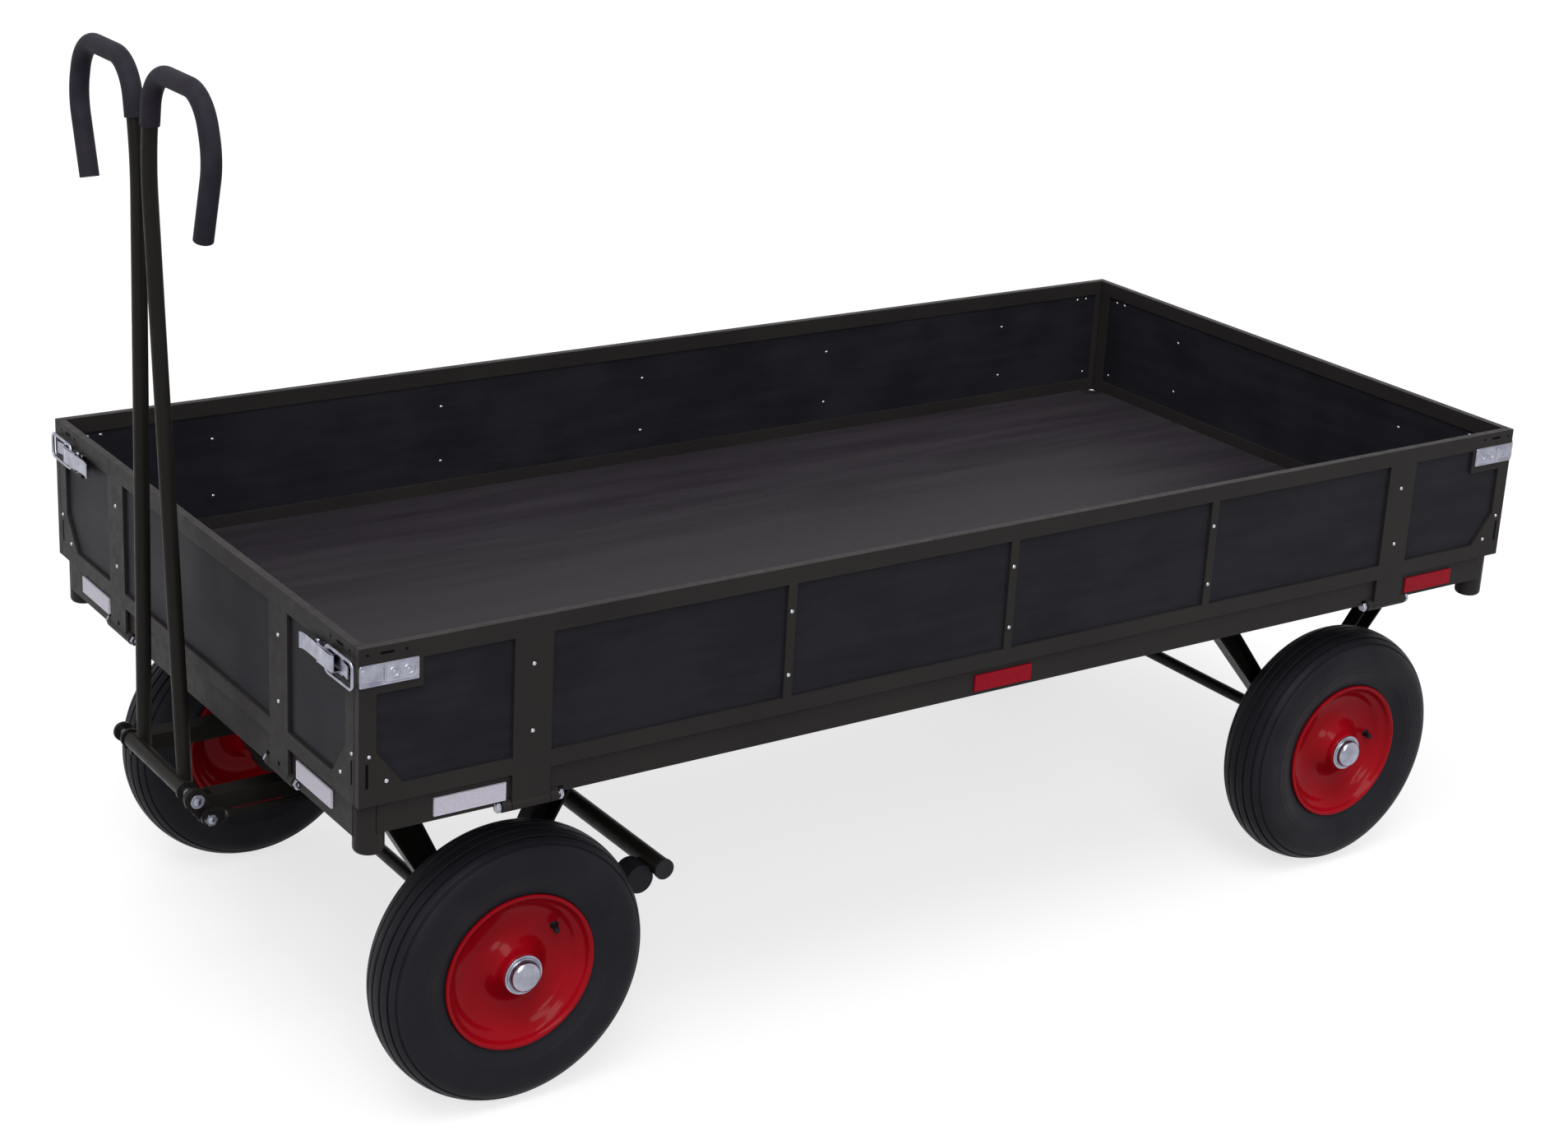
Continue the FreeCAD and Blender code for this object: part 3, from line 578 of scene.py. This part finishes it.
RIM = [(109.0, 34.4), (112.2, 37.4), (113.2, 40.2), (112.2, 42.4), (109.8, 43.0), (107.4, 41.6), (105.6, 38.0),
       (103.8, 33.5), (101.0, 30.2), (97.6, 28.2), (94.4, 25.4), (91.8, 20.6), (88.0, 17.0), (82.0, 14.4),
       (74.0, 12.4), (66.0, 11.4), (58.0, 11.6), (52.0, 13.0), (47.0, 15.8), (42.0, 20.4), (38.0, 25.6),
       (34.6, 30.2), (32.0, 33.6), (30.2, 38.0), (29.4, 43.4), (28.4, 45.0), (26.6, 45.6), (14.0, 45.6), (13.0, 44.6)]


def wheel(name, body, x, s, valve_deg):
    """Tyre, rim and valve of the wheel on side s of the axle at x."""
    axis = along((x, s * TRACK, WZ), (0, s, 0))
    b = Build().add(*lathe(tyre_section(), 176), axis)
    b.f = [tuple(reversed(f)) for f in b.f]
    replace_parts(b.make("tyre_tread_" + name, "tyre", body, 38), "tyre_" + name)
    rim = Build()
    inner = [(r, -h) for r, h in RIM[:13]] + [(82.0, -14.0), (74.0, 2.0), (66.0, 6.4), (56.0, 7.0), (44.0, 6.4),
                                              (38.0, -2.0), (30.0, -8.0), (27.0, -44.0), (13.0, -44.6)]
    rim.add(*lathe(inner[::-1] + RIM, 120), axis)
    rim.f = [tuple(reversed(f)) for f in rim.f]
    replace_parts(rim.make("rim_shell_" + name, "red", body, 50), "rim_" + name)
    a = math.radians(valve_deg)
    stem = Build()
    base = Vector((x + VALVE_R * math.cos(a), s * (TRACK + 13.0), WZ + VALVE_R * math.sin(a)))
    d = Vector((-0.25 * math.cos(a), s * 0.95, -0.25 * math.sin(a)))
    stem.add(*lathe([(0.1, -2), (6.0, -2), (6.4, 1.0), (4.4, 3.0), (3.6, 8.0), (4.1, 8.8), (4.1, 15.0), (3.2, 16.2),
                     (0.1, 16.4)], 18), along(base, d))
    stem.make("valve_" + name, "pad", body, 50)


for name, x, s, valve_deg in (("front_left", FX, 1, 147), ("front_right", FX, -1, 60),
                              ("rear_left", RX, 1, 176), ("rear_right", RX, -1, 250)):
    wheel(name, "wheel_" + name, x, s, valve_deg)

# washers and domed caps on the axle ends
CAP = [(10.4, 0.2), (28.0, 0.2), (28.6, 0.9), (28.3, 2.3), (26.6, 2.9), (25.0, 2.9), (24.2, 2.2), (23.2, 2.4),
       (22.6, 3.2), (22.2, 7.0), (21.4, 10.2), (19.4, 12.8), (16.0, 14.4), (12.0, 15.2), (6.0, 15.7), (0.1, 15.8)]
for node, body, x in (("front_axle_caps", "steering", FX), ("rear_axle_caps", "chassis", RX)):
    b = Build()
    for s in (1, -1):
        b.add(*lathe(CAP, 64), along((x, s * (TRACK + 46.0), WZ), (0, s, 0)))
    b.f = [tuple(reversed(f)) for f in b.f]
    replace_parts(b.make("hub_" + node, "zinc", body, 45), node)

# ---------------------------------------------------------------- drawbar hardware
b = Build()
b.add(*hexagon(10.4, 6.1), along((PX, PIN_LEFT, PZ), (0, 1, 0)))
b.add(*hexagon(10.4, 6.1), along((PX, PIN_RIGHT, PZ), (0, -1, 0)))
b.add(*dome(5.6, 1.0), along((PX, PIN_LEFT + 6.0, PZ), (0, 1, 0)))
rx, rz = PX - ROD_PIN_DX, PZ - ROD_PIN_DZ
b.add(*hexagon(9.3, 6.1), along((rx, ROD_PIN_Y, rz), (0, 1, 0)))
b.add(*dome(5.0, 1.0), along((rx, ROD_PIN_Y + 6.0, rz), (0, 1, 0)))
b.make("drawbar_bolt_heads", "zinc", "drawbar", 30)

# ---------------------------------------------------------------- turntable bolts
b = Build()
for k in range(8):
    a = math.radians(22.5 + 45 * k)
    b.add(*hexagon(5.6, 4.5), along((FX + BOLT_RING * math.cos(a), BOLT_RING * math.sin(a), BOLT_RING_Z), (0, 0, -1)))
b.make("turntable_bolts", "zinc", "chassis", 30)

# ---------------------------------------------------------------- stage, light and camera
def larger(tree, a, b):
    """The larger of two shader values."""
    n = tree.nodes.new("ShaderNodeMath")
    n.operation = "MAXIMUM"
    tree.links.new(a, n.inputs[0])
    tree.links.new(b, n.inputs[1])
    return n.outputs[0]


bpy.ops.mesh.primitive_plane_add(size=80, location=(0, 0, 0))
floor = bpy.context.object
floor.name = "floor"
fm = bpy.data.materials.new("floor_white")
fm.use_nodes = True
ft = fm.node_tree
fp = ft.nodes["Principled BSDF"]
fp.inputs["Base Color"].default_value = (0.32, 0.32, 0.325, 1)
fp.inputs["Roughness"].default_value = 0.9
fp.inputs["Specular IOR Level"].default_value = 0.0
fp.inputs["Emission Color"].default_value = (1, 1, 1, 1)
seen = ft.nodes.new("ShaderNodeLightPath").outputs
glow = ft.nodes.new("ShaderNodeMath")
glow.operation = "MULTIPLY"
glow.inputs[1].default_value = 0.72              # white to the camera, and no light on the cart
ft.links.new(larger(ft, seen["Is Camera Ray"], seen["Is Glossy Ray"]), glow.inputs[0])
ft.links.new(glow.outputs[0], fp.inputs["Emission Strength"])
floor.data.materials.append(fm)

world = bpy.data.worlds.new("studio")
bpy.context.scene.world = world
world.use_nodes = True
nt = world.node_tree
nt.nodes.clear()
out = nt.nodes.new("ShaderNodeOutputWorld")
mix = nt.nodes.new("ShaderNodeMixShader")
soft = nt.nodes.new("ShaderNodeBackground")
white = nt.nodes.new("ShaderNodeBackground")
soft.inputs["Color"].default_value = (0.97, 0.98, 1.0, 1)
soft.inputs["Strength"].default_value = 0.5
white.inputs["Color"].default_value = (1, 1, 1, 1)
white.inputs["Strength"].default_value = 1.0
path = nt.nodes.new("ShaderNodeLightPath").outputs
direct = larger(nt, path["Is Camera Ray"], path["Is Glossy Ray"])
nt.links.new(larger(nt, direct, path["Is Transmission Ray"]), mix.inputs["Fac"])
nt.links.new(soft.outputs[0], mix.inputs[1])
nt.links.new(white.outputs[0], mix.inputs[2])
nt.links.new(mix.outputs[0], out.inputs["Surface"])


def lamp(name, aim_from, strength, angle):
    """Sun that shines from the direction aim_from, angle degrees wide."""
    data = bpy.data.lights.new(name, "SUN")
    data.energy = strength
    data.angle = math.radians(angle)
    ob = bpy.data.objects.new(name, data)
    bpy.context.scene.collection.objects.link(ob)
    ob.rotation_mode = "QUATERNION"
    ob.rotation_quaternion = Vector(aim_from).to_track_quat("Z", "Y")


lamp("key", (0.5, 0.5, 1.6), 1.6, 35)
lamp("fill", (0.45, 1.0, 0.75), 0.9, 25)

cam = bpy.data.cameras.new("camera")
view = bpy.data.objects.new("camera", cam)
bpy.context.scene.collection.objects.link(view)
bpy.context.scene.camera = view
az, el, roll = (math.radians(v) for v in (144.8298, 19.2571, 3.0876))
back = Vector((math.sin(az) * math.cos(el), -math.cos(az) * math.cos(el), math.sin(el)))
right = (-back).cross(Vector((0, 0, 1))).normalized()
up = right.cross(-back)
r2 = right * math.cos(roll) + up * math.sin(roll)
u2 = up * math.cos(roll) - right * math.sin(roll)
view.matrix_world = Matrix(((r2.x, u2.x, back.x, 2.42537 + SHIFT / 1000), (r2.y, u2.y, back.y, 3.35614),
                            (r2.z, u2.z, back.z, 2.04030), (0, 0, 0, 1)))
cam.sensor_width = 36.0
cam.lens = 64.3408
cam.shift_x = 0.00538
cam.shift_y = -0.03933
cam.clip_start, cam.clip_end = 0.05, 200
bpy.context.scene.view_settings.view_transform = "Standard"
